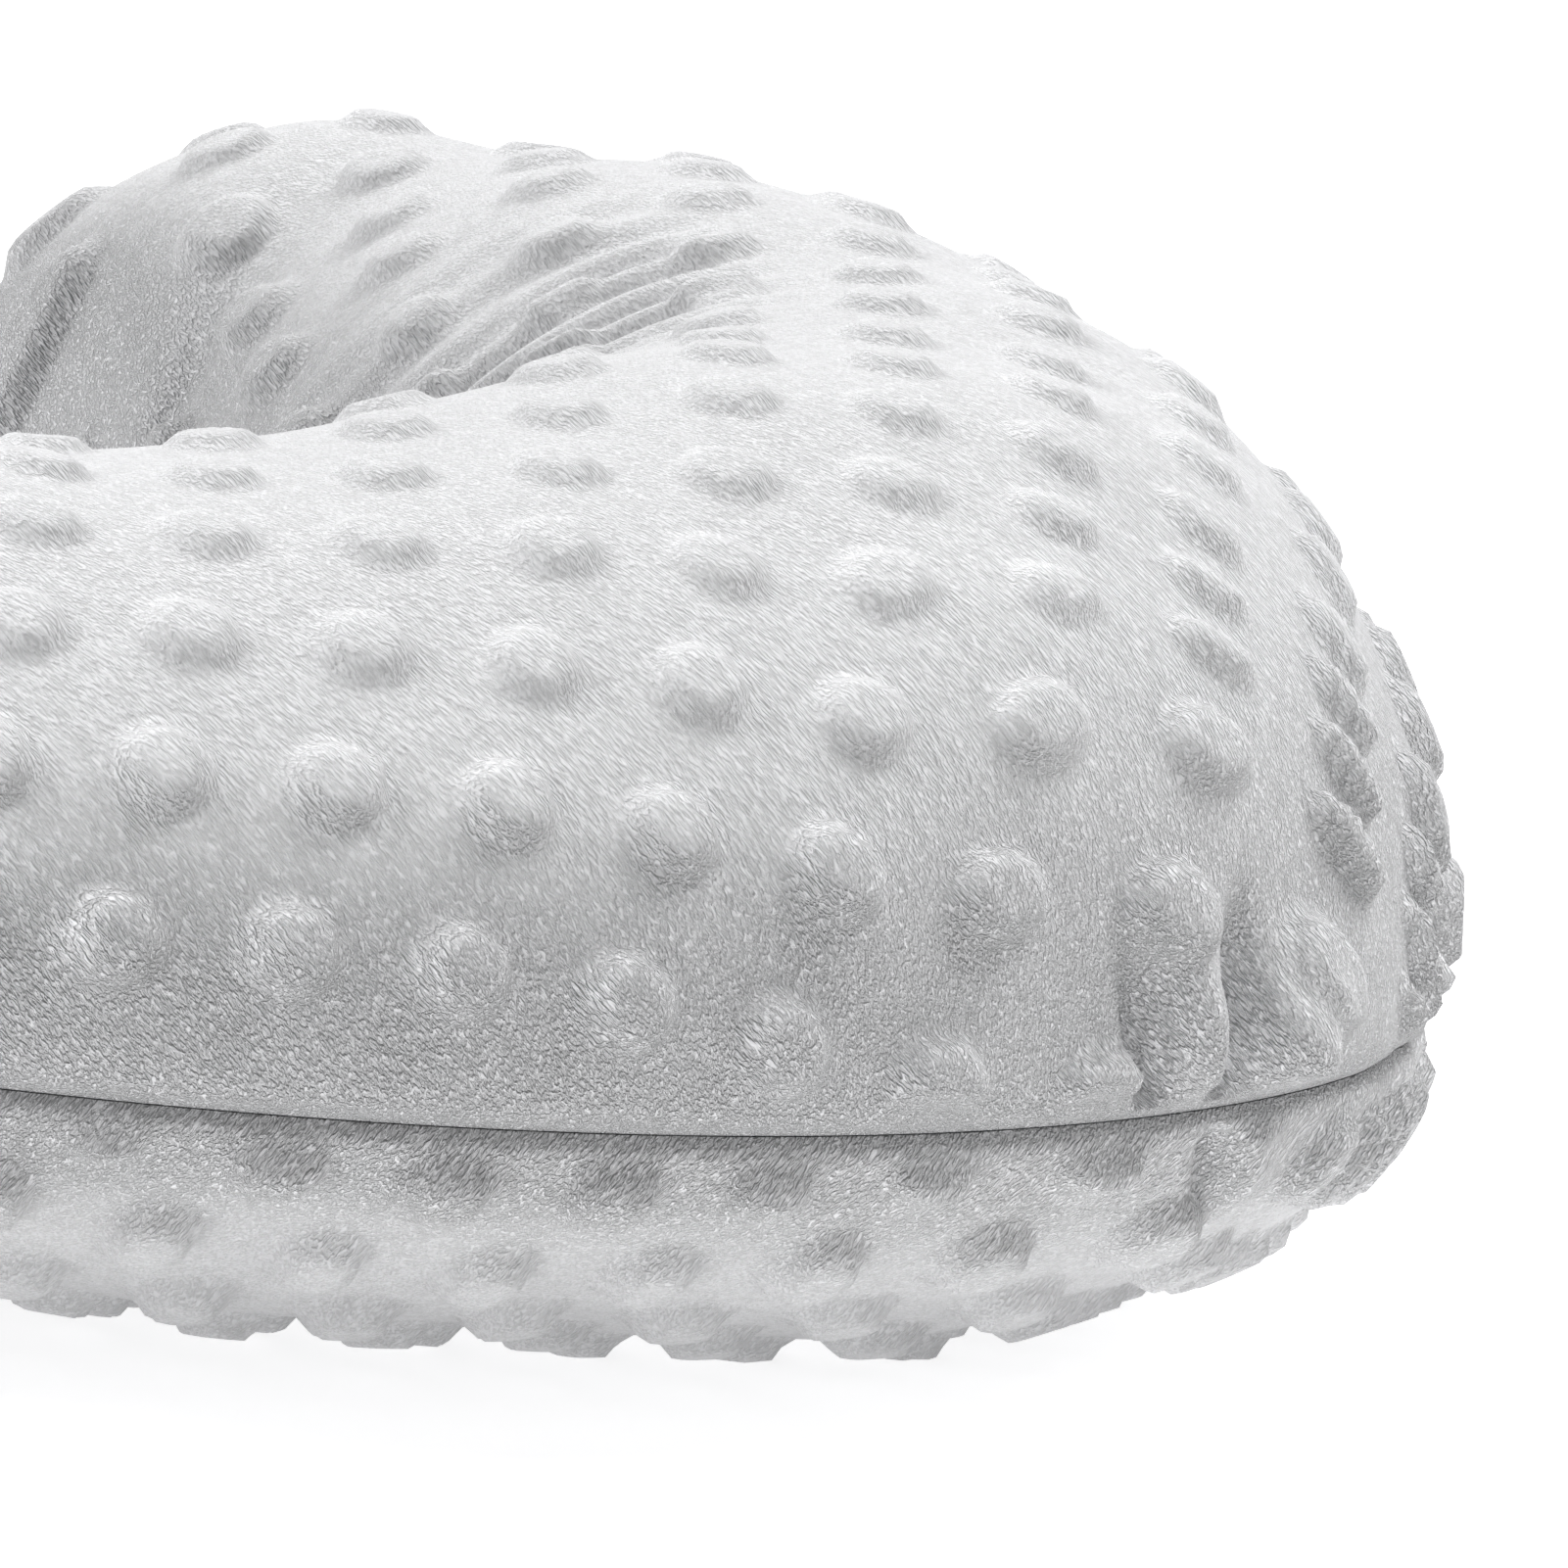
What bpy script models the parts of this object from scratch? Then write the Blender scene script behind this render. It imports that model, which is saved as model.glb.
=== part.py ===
"""A U-shaped nursing pillow: a zipped two-panel cover over a filled inner casing.

Metres, +Z up. The pillow lies flat on z = 0, its closed side towards -Y and its two arms
towards +Y, mirrored about x = 0. The origin is the middle of its plan, on the floor.
"""

import math

import bmesh
import bpy
import numpy as np

# ---- Plan: the centre line of one half, as arcs from the closed side's middle ----
CLOSED_RADIUS = 0.176
CLOSED_ANGLE = math.radians(45)
CORNER_RADIUS = 0.106
SIDE_RADIUS = 0.327
SIDE_ANGLE = math.radians(21)
TIP_RADIUS = 0.074
TIP_ANGLE = math.radians(74)

# ---- Cross-section: half widths, and heights above and below the seam ----
CLOSED_HALF_WIDTH = 0.090
SIDE_HALF_WIDTH = 0.080
ARM_HALF_WIDTH = 0.062
CLOSED_RISE = 0.069
CORNER_RISE = 0.086
ARM_RISE = 0.074
LOWER_DEPTH = 0.050
FLOOR_SQUASH = 0.004
TAPER_START = 0.5

# ---- Layers, from outside in ----
COVER_WALL = 0.0020
CASING_CLEARANCE = 0.0020
ZIP_ROOM = 0.0080
CASING_WALL = 0.0008
FILLING_CLEARANCE = 0.0008
SEAM_GAP = 0.0003

# ---- Zip, in the seam of the closed side ----
ZIP_ANGLE = math.radians(38)
ZIP_SLIT = 0.0015
TAPE_THICKNESS = 0.0006
TAPE_WIDTH = 0.012
TAPE_CLEARANCE = 0.0005
COIL_DEPTH = 0.0017
COIL_HEIGHT = 0.0014
COIL_CHANNEL = 0.0015
STOP_LENGTH = 0.0030
STOP_GAP = 0.0003
SLIDER_LENGTH = 0.0095
SLIDER_WALL = 0.0009
SLIDER_CLEARANCE = 0.0004
FLANGE_SETBACK = 0.0008
WEB_THICKNESS = 0.0008
BAIL_HALF_LENGTH = 0.0036
BAIL_BAR = 0.0011
BAIL_THICKNESS = 0.0014
BAIL_HOLE_DEPTH = 0.0017
PULL_LENGTH = 0.024
PULL_WIDTH = 0.0056
PULL_THICKNESS = 0.0009
PULL_EYE_START = 0.00055
PULL_EYE_LENGTH = 0.0050
PULL_EYE_WIDTH = 0.0023

# ---- Care label, on one arm's outer seam ----
LABEL_HEADING = math.radians(104)
LABEL_WIDTH = 0.034
LABEL_DROP = 0.026
LABEL_THICKNESS = 0.0004
LABEL_CLEARANCE = 0.0004

# ---- Mesh fineness ----
BODY_STATIONS = 45
TIP_STATIONS = 5
HALF_STEPS = 8
ZIP_STATIONS = 33

SEAM_HEIGHT = LOWER_DEPTH - FLOOR_SQUASH
ARCS = (
    (CLOSED_RADIUS, CLOSED_ANGLE),
    (CORNER_RADIUS, math.pi / 2 - CLOSED_ANGLE),
    (SIDE_RADIUS, SIDE_ANGLE),
    (TIP_RADIUS, TIP_ANGLE),
)
HALF_LENGTH = sum(radius * angle for radius, angle in ARCS)
CLOSED_LENGTH = CLOSED_RADIUS * CLOSED_ANGLE
CORNER_LENGTH = CLOSED_LENGTH + CORNER_RADIUS * (math.pi / 2 - CLOSED_ANGLE)
TAPER_LENGTH = CORNER_LENGTH + TAPER_START * SIDE_RADIUS * SIDE_ANGLE
OUTER_SEAM_RADIUS = CLOSED_RADIUS + CLOSED_HALF_WIDTH

FABRIC = {"minky": (0.72, 0.72, 0.73), "casing": (0.90, 0.90, 0.88), "label": (0.95, 0.95, 0.95)}


# ---- Geometry of the tube ----


def ease(value):
    """0 to 1 with level ends, for value from 0 to 1."""
    t = min(max(value, 0.0), 1.0)
    return t * t * (3 - 2 * t)


def centre_at(s):
    """Plan point and heading of the centre line at arc length s, where s < 0 is the -X half."""
    x = y = heading = 0.0
    left = abs(s)
    for radius, angle in ARCS:
        turn = min(left / radius, angle)
        x += radius * (math.sin(heading + turn) - math.sin(heading))
        y += radius * (math.cos(heading) - math.cos(heading + turn))
        heading += turn
        left -= radius * turn
    return math.copysign(x, s), y, math.copysign(heading, s)


def half_width(s):
    """Half width of the tube before the round tips; constant where the zip runs."""
    side = ease((abs(s) - CLOSED_LENGTH) / (CORNER_LENGTH - CLOSED_LENGTH))
    arm = ease((abs(s) - TAPER_LENGTH) / (HALF_LENGTH - ARM_HALF_WIDTH - TAPER_LENGTH))
    width = CLOSED_HALF_WIDTH + (SIDE_HALF_WIDTH - CLOSED_HALF_WIDTH) * side
    return width + (ARM_HALF_WIDTH - SIDE_HALF_WIDTH) * arm


def rise(s):
    """Height of the tube's crown above the seam, before the round tips."""
    corner = ease(abs(s) / CLOSED_LENGTH)
    arm = ease((abs(s) - TAPER_LENGTH) / (HALF_LENGTH - ARM_HALF_WIDTH - TAPER_LENGTH))
    height = CLOSED_RISE + (CORNER_RISE - CLOSED_RISE) * corner
    return height + (ARM_RISE - CORNER_RISE) * arm


def tip_factor(s, inset):
    """Share of the full section left at s: 1 along the body, 0 at the tip of this layer."""
    start = HALF_LENGTH - ARM_HALF_WIDTH
    run = (abs(s) - start) / (ARM_HALF_WIDTH - inset)
    if run <= 0:
        return 1.0
    return math.sqrt(max(0.0, 1 - min(run, 1.0) ** 2))


def stations(inset):
    """Arc lengths of the sections of one layer, both poles included."""
    body_end = HALF_LENGTH - ARM_HALF_WIDTH
    body = list(np.linspace(-body_end, body_end, BODY_STATIONS))
    angles = [(k + 1) * math.pi / 2 / TIP_STATIONS for k in range(TIP_STATIONS)]
    tip = [body_end + (ARM_HALF_WIDTH - inset) * math.sin(angle) for angle in angles]
    return [-s for s in reversed(tip)] + body + tip


def plan_span():
    """Lowest and highest y of the cover's outer outline."""
    heights = []
    for s in np.linspace(0, HALF_LENGTH, 800):
        _, y, heading = centre_at(s)
        reach = half_width(s) * tip_factor(s, 0.0)
        heights += [y - reach * math.cos(heading), y + reach * math.cos(heading)]
    return min(heights), max(heights)


Y_SHIFT = -sum(plan_span()) / 2
ZIP_CENTRE = (0.0, CLOSED_RADIUS + Y_SHIFT)


def place(s, outward, z):
    """World point at arc length s, this far outward from the centre line, at height z."""
    x, y, heading = centre_at(s)
    return (x + outward * math.sin(heading), y + Y_SHIFT - outward * math.cos(heading), z)


class Layer:
    """A surface of the tube, set in from the cover's outer face."""

    def __init__(self, inset, outer_inset=None):
        self.inset = inset
        self.outer_inset = inset if outer_inset is None else outer_inset

    def point(self, s, angle, lift=0.0):
        """Angle 0 is the outer seam, 90 degrees the crown and 180 the inner seam."""
        share = tip_factor(s, self.inset)
        outward = math.cos(angle)
        inset = self.outer_inset if outward > 0 else self.inset
        reach = (half_width(s) - inset) * outward * share
        if math.sin(angle) >= 0:
            z = SEAM_HEIGHT + (rise(s) - self.inset) * math.sin(angle) * share
        else:
            z = SEAM_HEIGHT + (LOWER_DEPTH - self.inset) * math.sin(angle) * share
        return place(s, reach, max(z + lift, self.inset))


def slit_gap(s):
    """Gap between the two cover panels: the zip's slit, or a plain closed seam."""
    zip_end = CLOSED_RADIUS * ZIP_ANGLE
    closing = ease((abs(s) - zip_end) / (CLOSED_LENGTH - zip_end))
    return ZIP_SLIT + (SEAM_GAP - ZIP_SLIT) * closing


# ---- Mesh helpers ----


def material(name, colour, roughness, metallic=0.0):
    found = bpy.data.materials.get(name)
    if found:
        return found
    made = bpy.data.materials.new(name)
    made.use_nodes = True
    shader = made.node_tree.nodes["Principled BSDF"]
    shader.inputs["Base Color"].default_value = (*colour, 1.0)
    shader.inputs["Roughness"].default_value = roughness
    shader.inputs["Metallic"].default_value = metallic
    return made


def add_object(name, points, faces, finish, parent=None, origin=(0.0, 0.0, 0.0)):
    """One closed mesh object, its faces turned outward, its origin where it turns."""
    mesh = bpy.data.meshes.new(name)
    mesh.from_pydata([tuple(np.subtract(p, origin)) for p in points], [], faces)
    solid = bmesh.new()
    solid.from_mesh(mesh)
    bmesh.ops.recalc_face_normals(solid, faces=solid.faces)
    solid.to_mesh(mesh)
    solid.free()
    mesh.shade_smooth()
    mesh.set_sharp_from_angle(angle=math.radians(40))
    mesh.materials.append(finish)
    obj = bpy.data.objects.new(name, mesh)
    bpy.context.scene.collection.objects.link(obj)
    obj.location = origin
    if parent:
        obj.parent = parent
        obj.location = np.subtract(origin, parent.location)
    return obj


def grid_rows(layer, angles, gap_sign, gap):
    """Rows of points along a layer's stations; the first and last rows are single poles."""
    rows = []
    layer_stations = stations(layer.inset)
    for s in layer_stations:
        lift = gap_sign * gap(s) / 2
        if s in (layer_stations[0], layer_stations[-1]):
            rows.append([layer.point(s, angles[0], lift)])
        else:
            rows.append([layer.point(s, angle, lift) for angle in angles])
    return rows


def number_rows(rows, start):
    """Vertex numbers for rows of points, counted on from start."""
    numbered = []
    for row in rows:
        numbered.append(list(range(start, start + len(row))))
        start += len(row)
    return numbered, start


def skin(rows, closed):
    """Triangles between rows of vertex numbers, split alike in every layer so none cross."""
    faces = []
    for row, after in zip(rows, rows[1:]):
        count = max(len(row), len(after))
        for k in range(count if closed else count - 1):
            j = (k + 1) % count
            if len(row) == 1:
                faces.append((row[0], after[j], after[k]))
            elif len(after) == 1:
                faces.append((row[k], row[j], after[0]))
            else:
                faces.append((row[k], row[j], after[j]))
                faces.append((row[k], after[j], after[k]))
    return faces


def half_shell(name, outside, inside, upper, steps, gap, finish):
    """One panel: the upper or lower half of the tube between two layers."""
    sign = 1 if upper else -1
    start = 0.0 if upper else math.pi
    angles = [start + math.pi * k / steps for k in range(steps + 1)]
    outer_rows = grid_rows(outside, angles, sign, gap)
    inner_rows = grid_rows(inside, angles, sign, gap)
    points = [p for row in outer_rows + inner_rows for p in row]
    outer, after = number_rows(outer_rows, 0)
    inner, _ = number_rows(inner_rows, after)
    faces = skin(outer, False)
    faces += [tuple(reversed(face)) for face in skin(inner, False)]
    for side in (0, -1):
        for k in range(len(outer) - 1):
            faces.append((outer[k][side], outer[k + 1][side], inner[k + 1][side], inner[k][side]))
    return add_object(name, points, faces, finish)


def whole_tube(name, layer, steps, finish):
    """A solid filling the tube inside one layer."""
    angles = [2 * math.pi * k / (2 * steps) for k in range(2 * steps)]
    rows = grid_rows(layer, angles, 0, slit_gap)
    points = [p for row in rows for p in row]
    numbered, _ = number_rows(rows, 0)
    return add_object(name, points, skin(numbered, True), finish)


def swept_bar(name, sections, finish, parent=None, origin=(0.0, 0.0, 0.0)):
    """A bar through a list of matching section loops, capped at both ends."""
    points = [p for loop in sections for p in loop]
    rows, _ = number_rows(sections, 0)
    faces = skin(rows, True) + [tuple(reversed(rows[0])), tuple(rows[-1])]
    return add_object(name, points, faces, finish, parent, origin)


def zip_point(angle, radial, z):
    """Point by the zip: angle from the closed side's middle, radial from the outer seam."""
    radius = OUTER_SEAM_RADIUS + radial
    x = ZIP_CENTRE[0] + radius * math.sin(angle)
    y = ZIP_CENTRE[1] - radius * math.cos(angle)
    return (x, y, SEAM_HEIGHT + z)


def join_union(target, tool):
    """Adds tool's solid to target's and removes tool."""
    union = target.modifiers.new("union", "BOOLEAN")
    union.operation = "UNION"
    union.object = tool
    tool.hide_render = True
    tool.display_type = "WIRE"
    return union


# ---- The pieces ----

TAPE_START = ZIP_SLIT / 2 + TAPE_CLEARANCE


def build_cover(minky):
    outside = Layer(0.0)
    inside = Layer(COVER_WALL)
    half_shell("cover_top_panel", outside, inside, True, HALF_STEPS, slit_gap, minky)
    half_shell("cover_bottom_panel", outside, inside, False, HALF_STEPS, slit_gap, minky)


def build_insert(casing_finish, fibre):
    """The inner casing's two panels and the fibre in them, clear of the zip."""
    inset = COVER_WALL + CASING_CLEARANCE
    outer_inset = COVER_WALL + ZIP_ROOM
    outside = Layer(inset, outer_inset)
    inside = Layer(inset + CASING_WALL, outer_inset + CASING_WALL)
    half_shell("casing_top_panel", outside, inside, True, HALF_STEPS, lambda s: SEAM_GAP, casing_finish)
    half_shell("casing_bottom_panel", outside, inside, False, HALF_STEPS, lambda s: SEAM_GAP, casing_finish)
    filling_inset = inset + CASING_WALL + FILLING_CLEARANCE
    filling = Layer(filling_inset, outer_inset + CASING_WALL + FILLING_CLEARANCE)
    whole_tube("fibre_filling", filling, HALF_STEPS, fibre)


def tape_loop(angle, sign):
    """Section of one zip tape: it follows the first facet of its cover panel's inside."""
    s = CLOSED_RADIUS * angle
    outer_depth = COVER_WALL + TAPE_CLEARANCE
    faces = []
    for depth in (outer_depth, outer_depth + TAPE_THICKNESS):
        layer = Layer(depth)
        seam = np.array(layer.point(s, 0.0))
        next_edge = np.array(layer.point(s, sign * math.pi / HALF_STEPS))
        run = abs(next_edge[2] - seam[2])
        ends = [seam + (next_edge - seam) * level / run for level in (TAPE_START, TAPE_WIDTH)]
        faces.append([tuple(end) for end in ends])
    return faces[0] + faces[1][::-1]


def build_zip_tapes(woven):
    for name, sign in (("zip_tape_upper", 1), ("zip_tape_lower", -1)):
        angles = np.linspace(-ZIP_ANGLE, ZIP_ANGLE, ZIP_STATIONS)
        swept_bar(name, [tape_loop(angle, sign) for angle in angles], woven)


COIL_OUT = -(COVER_WALL + 2 * TAPE_CLEARANCE + TAPE_THICKNESS + SLIDER_CLEARANCE)
COIL_IN = COIL_OUT - COIL_DEPTH
COIL_LOW = COIL_CHANNEL / 2
COIL_HIGH = COIL_LOW + COIL_HEIGHT


def bar_loop(angle, low, high, inner, outer):
    """A four-cornered section at one angle."""
    corners = ((outer, low), (outer, high), (inner, high), (inner, low))
    return [zip_point(angle, out, z) for out, z in corners]


def build_zip_coils(nylon):
    stop_angle = (STOP_LENGTH + STOP_GAP) / OUTER_SEAM_RADIUS
    angles = np.linspace(-ZIP_ANGLE + stop_angle, ZIP_ANGLE - stop_angle, ZIP_STATIONS)
    for name, sign in (("zip_coil_upper", 1), ("zip_coil_lower", -1)):
        loops = [bar_loop(a, sign * COIL_LOW, sign * COIL_HIGH, COIL_IN, COIL_OUT) for a in angles]
        swept_bar(name, loops, nylon)


def build_zip_stops(metal):
    """The top stops sit where the closed zip's slider rests; one bottom stop is at the other end."""
    length_angle = STOP_LENGTH / OUTER_SEAM_RADIUS
    closed_end = (-ZIP_ANGLE, -ZIP_ANGLE + length_angle)
    open_end = (ZIP_ANGLE - length_angle, ZIP_ANGLE)
    stops = (
        ("zip_top_stop_upper", closed_end, COIL_LOW, COIL_HIGH),
        ("zip_top_stop_lower", closed_end, -COIL_HIGH, -COIL_LOW),
        ("zip_bottom_stop", open_end, -COIL_HIGH, COIL_HIGH),
    )
    for name, ends, low, high in stops:
        loops = [bar_loop(angle, low, high, COIL_IN, COIL_OUT) for angle in ends]
        swept_bar(name, loops, metal)


SLIDER_ANGLE = -ZIP_ANGLE + (STOP_LENGTH + STOP_GAP + SLIDER_LENGTH / 2 + STOP_GAP) / OUTER_SEAM_RADIUS
PLATE_LOW = SLIDER_CLEARANCE
PLATE_HIGH = PLATE_LOW + SLIDER_WALL
BAIL_AXIS = PLATE_HIGH + BAIL_HOLE_DEPTH / 2


def slider_axes():
    """Outward and along directions at the slider's rest place, and its point on the seam."""
    origin = np.array(zip_point(SLIDER_ANGLE, 0.0, 0.0))
    outward = np.array([math.sin(SLIDER_ANGLE), -math.cos(SLIDER_ANGLE), 0.0])
    along = np.array([math.cos(SLIDER_ANGLE), math.sin(SLIDER_ANGLE), 0.0])
    return origin, outward, along


def slider_outline():
    """Upper half of the slider's section, as (outward, z) from the seam line."""
    web = WEB_THICKNESS / 2
    back_out = COIL_IN - SLIDER_CLEARANCE
    back_in = back_out - SLIDER_WALL
    flange_low = COIL_HIGH + SLIDER_CLEARANCE
    flange_high = flange_low + SLIDER_WALL
    flange_end = COIL_OUT - FLANGE_SETBACK
    plate_half = flange_low
    return (
        (PLATE_HIGH, plate_half),
        (PLATE_LOW, plate_half),
        (PLATE_LOW, web),
        (back_out, web),
        (back_out, flange_low),
        (flange_end, flange_low),
        (flange_end, flange_high),
        (back_in, flange_high),
    )


def extrude_outline(name, outline, origin, side, up, run, length, finish, parent):
    """A prism: outline in the (side, up) plane through origin, extruded by length along run."""
    loops = []
    for shift in (-length / 2, length / 2):
        loops.append([tuple(origin + side * a + up * b + run * shift) for a, b in outline])
    return swept_bar(name, loops, finish, parent, tuple(parent.location))


def build_slider(metal, slider_axis):
    """The slider: a channel inside the cover, a web through the slit and a bail outside."""
    origin, outward, along = slider_axes()
    up = np.array([0.0, 0.0, 1.0])
    upper = slider_outline()
    outline = list(upper) + [(a, -b) for a, b in reversed(upper)]
    body = extrude_outline(
        "zip_slider", outline, origin, outward, up, along, SLIDER_LENGTH, metal, slider_axis
    )
    hole = BAIL_HALF_LENGTH - BAIL_BAR
    hole_top = PLATE_HIGH + BAIL_HOLE_DEPTH
    bail_top = hole_top + BAIL_BAR
    foot = (PLATE_LOW + PLATE_HIGH) / 2
    bail = (
        (-BAIL_HALF_LENGTH, foot),
        (-BAIL_HALF_LENGTH, bail_top),
        (BAIL_HALF_LENGTH, bail_top),
        (BAIL_HALF_LENGTH, foot),
        (hole, foot),
        (hole, hole_top),
        (-hole, hole_top),
        (-hole, foot),
    )
    arch = extrude_outline(
        "bail_cutter", bail, origin, along, outward, up, BAIL_THICKNESS, metal, slider_axis
    )
    join_union(body, arch)


def pull_origin():
    """World point on the pull tab's hinge axis."""
    origin, outward, _ = slider_axes()
    return origin + outward * BAIL_AXIS


def build_pull(metal, pull_axis):
    """The pull tab: a rounded plate with an eye round the bail; it lies back along the seam."""
    _, outward, along = slider_axes()
    up = np.array([0.0, 0.0, 1.0])
    half = PULL_WIDTH / 2
    start = -PULL_THICKNESS / 2
    straight_end = PULL_LENGTH - half
    arc = [k * math.pi / 8 for k in range(9)]
    round_end = [(straight_end + half * math.sin(a), half * math.cos(a)) for a in arc]
    outline = [(start, half)] + round_end + [(start, -half)]
    eye_end = PULL_EYE_START + PULL_EYE_LENGTH
    eye_half = PULL_EYE_WIDTH / 2
    eye = [(PULL_EYE_START, -eye_half), (PULL_EYE_START, eye_half), (eye_end, eye_half), (eye_end, -eye_half)]
    centre = pull_origin()
    tab = extrude_outline(
        "zip_pull_tab", outline, centre, -along, up, outward, PULL_THICKNESS, metal, pull_axis
    )
    cutter = extrude_outline(
        "eye_cutter", eye, centre, -along, up, outward, 3 * PULL_THICKNESS, metal, pull_axis
    )
    cut = tab.modifiers.new("eye", "BOOLEAN")
    cut.operation = "DIFFERENCE"
    cut.object = cutter
    cutter.hide_render = True
    cutter.display_type = "WIRE"


def build_label(woven):
    """A blank care label that hangs from one arm's outer seam against the lower panel."""
    turned = (LABEL_HEADING - math.pi / 2) * SIDE_RADIUS
    middle = -(CORNER_LENGTH + turned)
    loops = []
    for s in np.linspace(middle - LABEL_WIDTH / 2, middle + LABEL_WIDTH / 2, 7):
        loop = []
        levels = np.linspace(-SEAM_GAP, -LABEL_DROP, 6)
        for out in (LABEL_CLEARANCE, LABEL_CLEARANCE + LABEL_THICKNESS):
            side = []
            for level in levels:
                share = math.sqrt(1 - (level / LOWER_DEPTH) ** 2)
                reach = half_width(s) * share + out / share
                side.append(place(s, reach, SEAM_HEIGHT + level))
            loop += side if out == LABEL_CLEARANCE else side[::-1]
        loops.append(loop)
    swept_bar("care_label", loops, woven)


def add_axis(name, location):
    """An empty on a joint's axis, which carries the pieces that turn about it."""
    empty = bpy.data.objects.new(name, None)
    bpy.context.scene.collection.objects.link(empty)
    empty.location = location
    return empty


def main():
    for obj in list(bpy.data.objects):
        bpy.data.objects.remove(obj)
    minky = material("minky", FABRIC["minky"], 0.95)
    casing_finish = material("casing_cotton", FABRIC["casing"], 0.9)
    fibre = material("polyester_fibre", FABRIC["casing"], 0.95)
    woven = material("zip_tape", FABRIC["minky"], 0.8)
    nylon = material("zip_nylon", FABRIC["minky"], 0.45)
    metal = material("zip_metal", (0.75, 0.75, 0.76), 0.3, 1.0)
    label = material("label_satin", FABRIC["label"], 0.5)
    build_cover(minky)
    build_insert(casing_finish, fibre)
    build_zip_tapes(woven)
    build_zip_coils(nylon)
    build_zip_stops(metal)
    slider_axis = add_axis("zip_axis", (ZIP_CENTRE[0], ZIP_CENTRE[1], SEAM_HEIGHT))
    pull_axis = add_axis("pull_axis", tuple(pull_origin()))
    build_slider(metal, slider_axis)
    build_pull(metal, pull_axis)
    build_label(label)


main()
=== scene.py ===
"""The looks of a U-shaped nursing pillow: raised-dot plush cover, inner casing, filling, zip.

The cover is two panels on the same plan curve as the CAD model. Each is a fine grid whose points
are moved along their normals for the raised dots, gathers, folds and pucker. Metres, in the CAD
model's frame.
"""

import math

import bpy
import numpy as np
from mathutils import Matrix, Vector


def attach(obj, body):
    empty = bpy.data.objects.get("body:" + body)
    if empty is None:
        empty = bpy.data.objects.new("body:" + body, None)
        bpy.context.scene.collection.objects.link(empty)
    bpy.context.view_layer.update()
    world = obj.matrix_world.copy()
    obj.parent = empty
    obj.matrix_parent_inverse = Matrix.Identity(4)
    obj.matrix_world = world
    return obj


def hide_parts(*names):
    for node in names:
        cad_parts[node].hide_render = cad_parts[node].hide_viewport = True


# ---- Plan and section, as in the CAD model ----
CLOSED_RADIUS = 0.176
CLOSED_ANGLE = math.radians(45)
CORNER_RADIUS = 0.106
SIDE_RADIUS = 0.327
SIDE_ANGLE = math.radians(21)
TIP_RADIUS = 0.074
TIP_ANGLE = math.radians(74)
CLOSED_HALF_WIDTH = 0.090
SIDE_HALF_WIDTH = 0.080
ARM_HALF_WIDTH = 0.062
CLOSED_RISE = 0.069
CORNER_RISE = 0.086
ARM_RISE = 0.074
LOWER_DEPTH = 0.050
FLOOR_SQUASH = 0.004
TAPER_START = 0.5
TURN_START = math.radians(45)
TURN_FADE = math.radians(35)
MIDDLE_LIFT = 0.008
SEAM_HEIGHT = LOWER_DEPTH - FLOOR_SQUASH
ZIP_ANGLE = math.radians(38)
CASING_INSET = 0.0040
CASING_ZIP_INSET = 0.0100
FILLING_INSET = 0.0056
FILLING_ZIP_INSET = 0.0116
ARCS = (
    (CLOSED_RADIUS, CLOSED_ANGLE),
    (CORNER_RADIUS, math.pi / 2 - CLOSED_ANGLE),
    (SIDE_RADIUS, SIDE_ANGLE),
    (TIP_RADIUS, TIP_ANGLE),
)
HALF_LENGTH = sum(radius * angle for radius, angle in ARCS)
CLOSED_LENGTH = CLOSED_RADIUS * CLOSED_ANGLE
CORNER_LENGTH = CLOSED_LENGTH + CORNER_RADIUS * (math.pi / 2 - CLOSED_ANGLE)
TAPER_LENGTH = CORNER_LENGTH + TAPER_START * SIDE_RADIUS * SIDE_ANGLE
BODY_END = HALF_LENGTH - ARM_HALF_WIDTH
ZIP_END = CLOSED_RADIUS * ZIP_ANGLE

# ---- Cover fabric ----
DOT_RADIUS = 0.0075
DOT_HEIGHT = 0.0038
DOT_LEVEL_SHARE = 0.55
DOT_EDGE = 1.38
STEEP_FROM = 0.88
STEEP_RANGE = 0.55
DOT_SEAM_FADE = (0.0030, 0.0075)
TOP_DOTS = {"first": (-0.0090, -0.1275), "column": (0.0246, 0.0005), "row": (-0.0071, -0.0251)}
BOTTOM_DOTS = {"first": (-0.0114, -0.2293), "column": (0.0248, 0.0043), "row": (0.0111, 0.0204)}
CORNER_PULL_START = 0.095
CORNER_PULL_SOFT = 0.03
CORNER_PULL_ROWS = 0.56
CORNER_PULL_COLUMNS = 0.25
CORNER_PULL_BACK = -0.095
CORNER_PULL_FADE = 0.055
SEAM_GAP = 0.0002
SEAM_TUCK = 0.0023
SEAM_TUCK_WIDTH = 0.0014
SEAM_LIFT_WIDTH = 0.004
SEAM_ROLL = 0.0003
SEAM_ROLL_PLACE = 0.0055
SEAM_ROLL_WIDTH = 0.0040
LOWER_SEAM_ROLL = -0.0004
FLOOR_GAP = 0.0002
TAPE_INSET = 0.0012
TAPE_WIDTH = 0.0125

# ---- Zip coil, as the CAD coil's section ----
COIL_RADIAL = -0.00485
COIL_LEVEL = 0.00145
COIL_DEPTH = 0.0017
COIL_HEIGHT = 0.0014
COIL_WIRE = 0.00055
COIL_PITCH = 0.0015
COIL_STEPS = 14
COIL_SIDES = 6
STOP_ROOM = 0.0033

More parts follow.
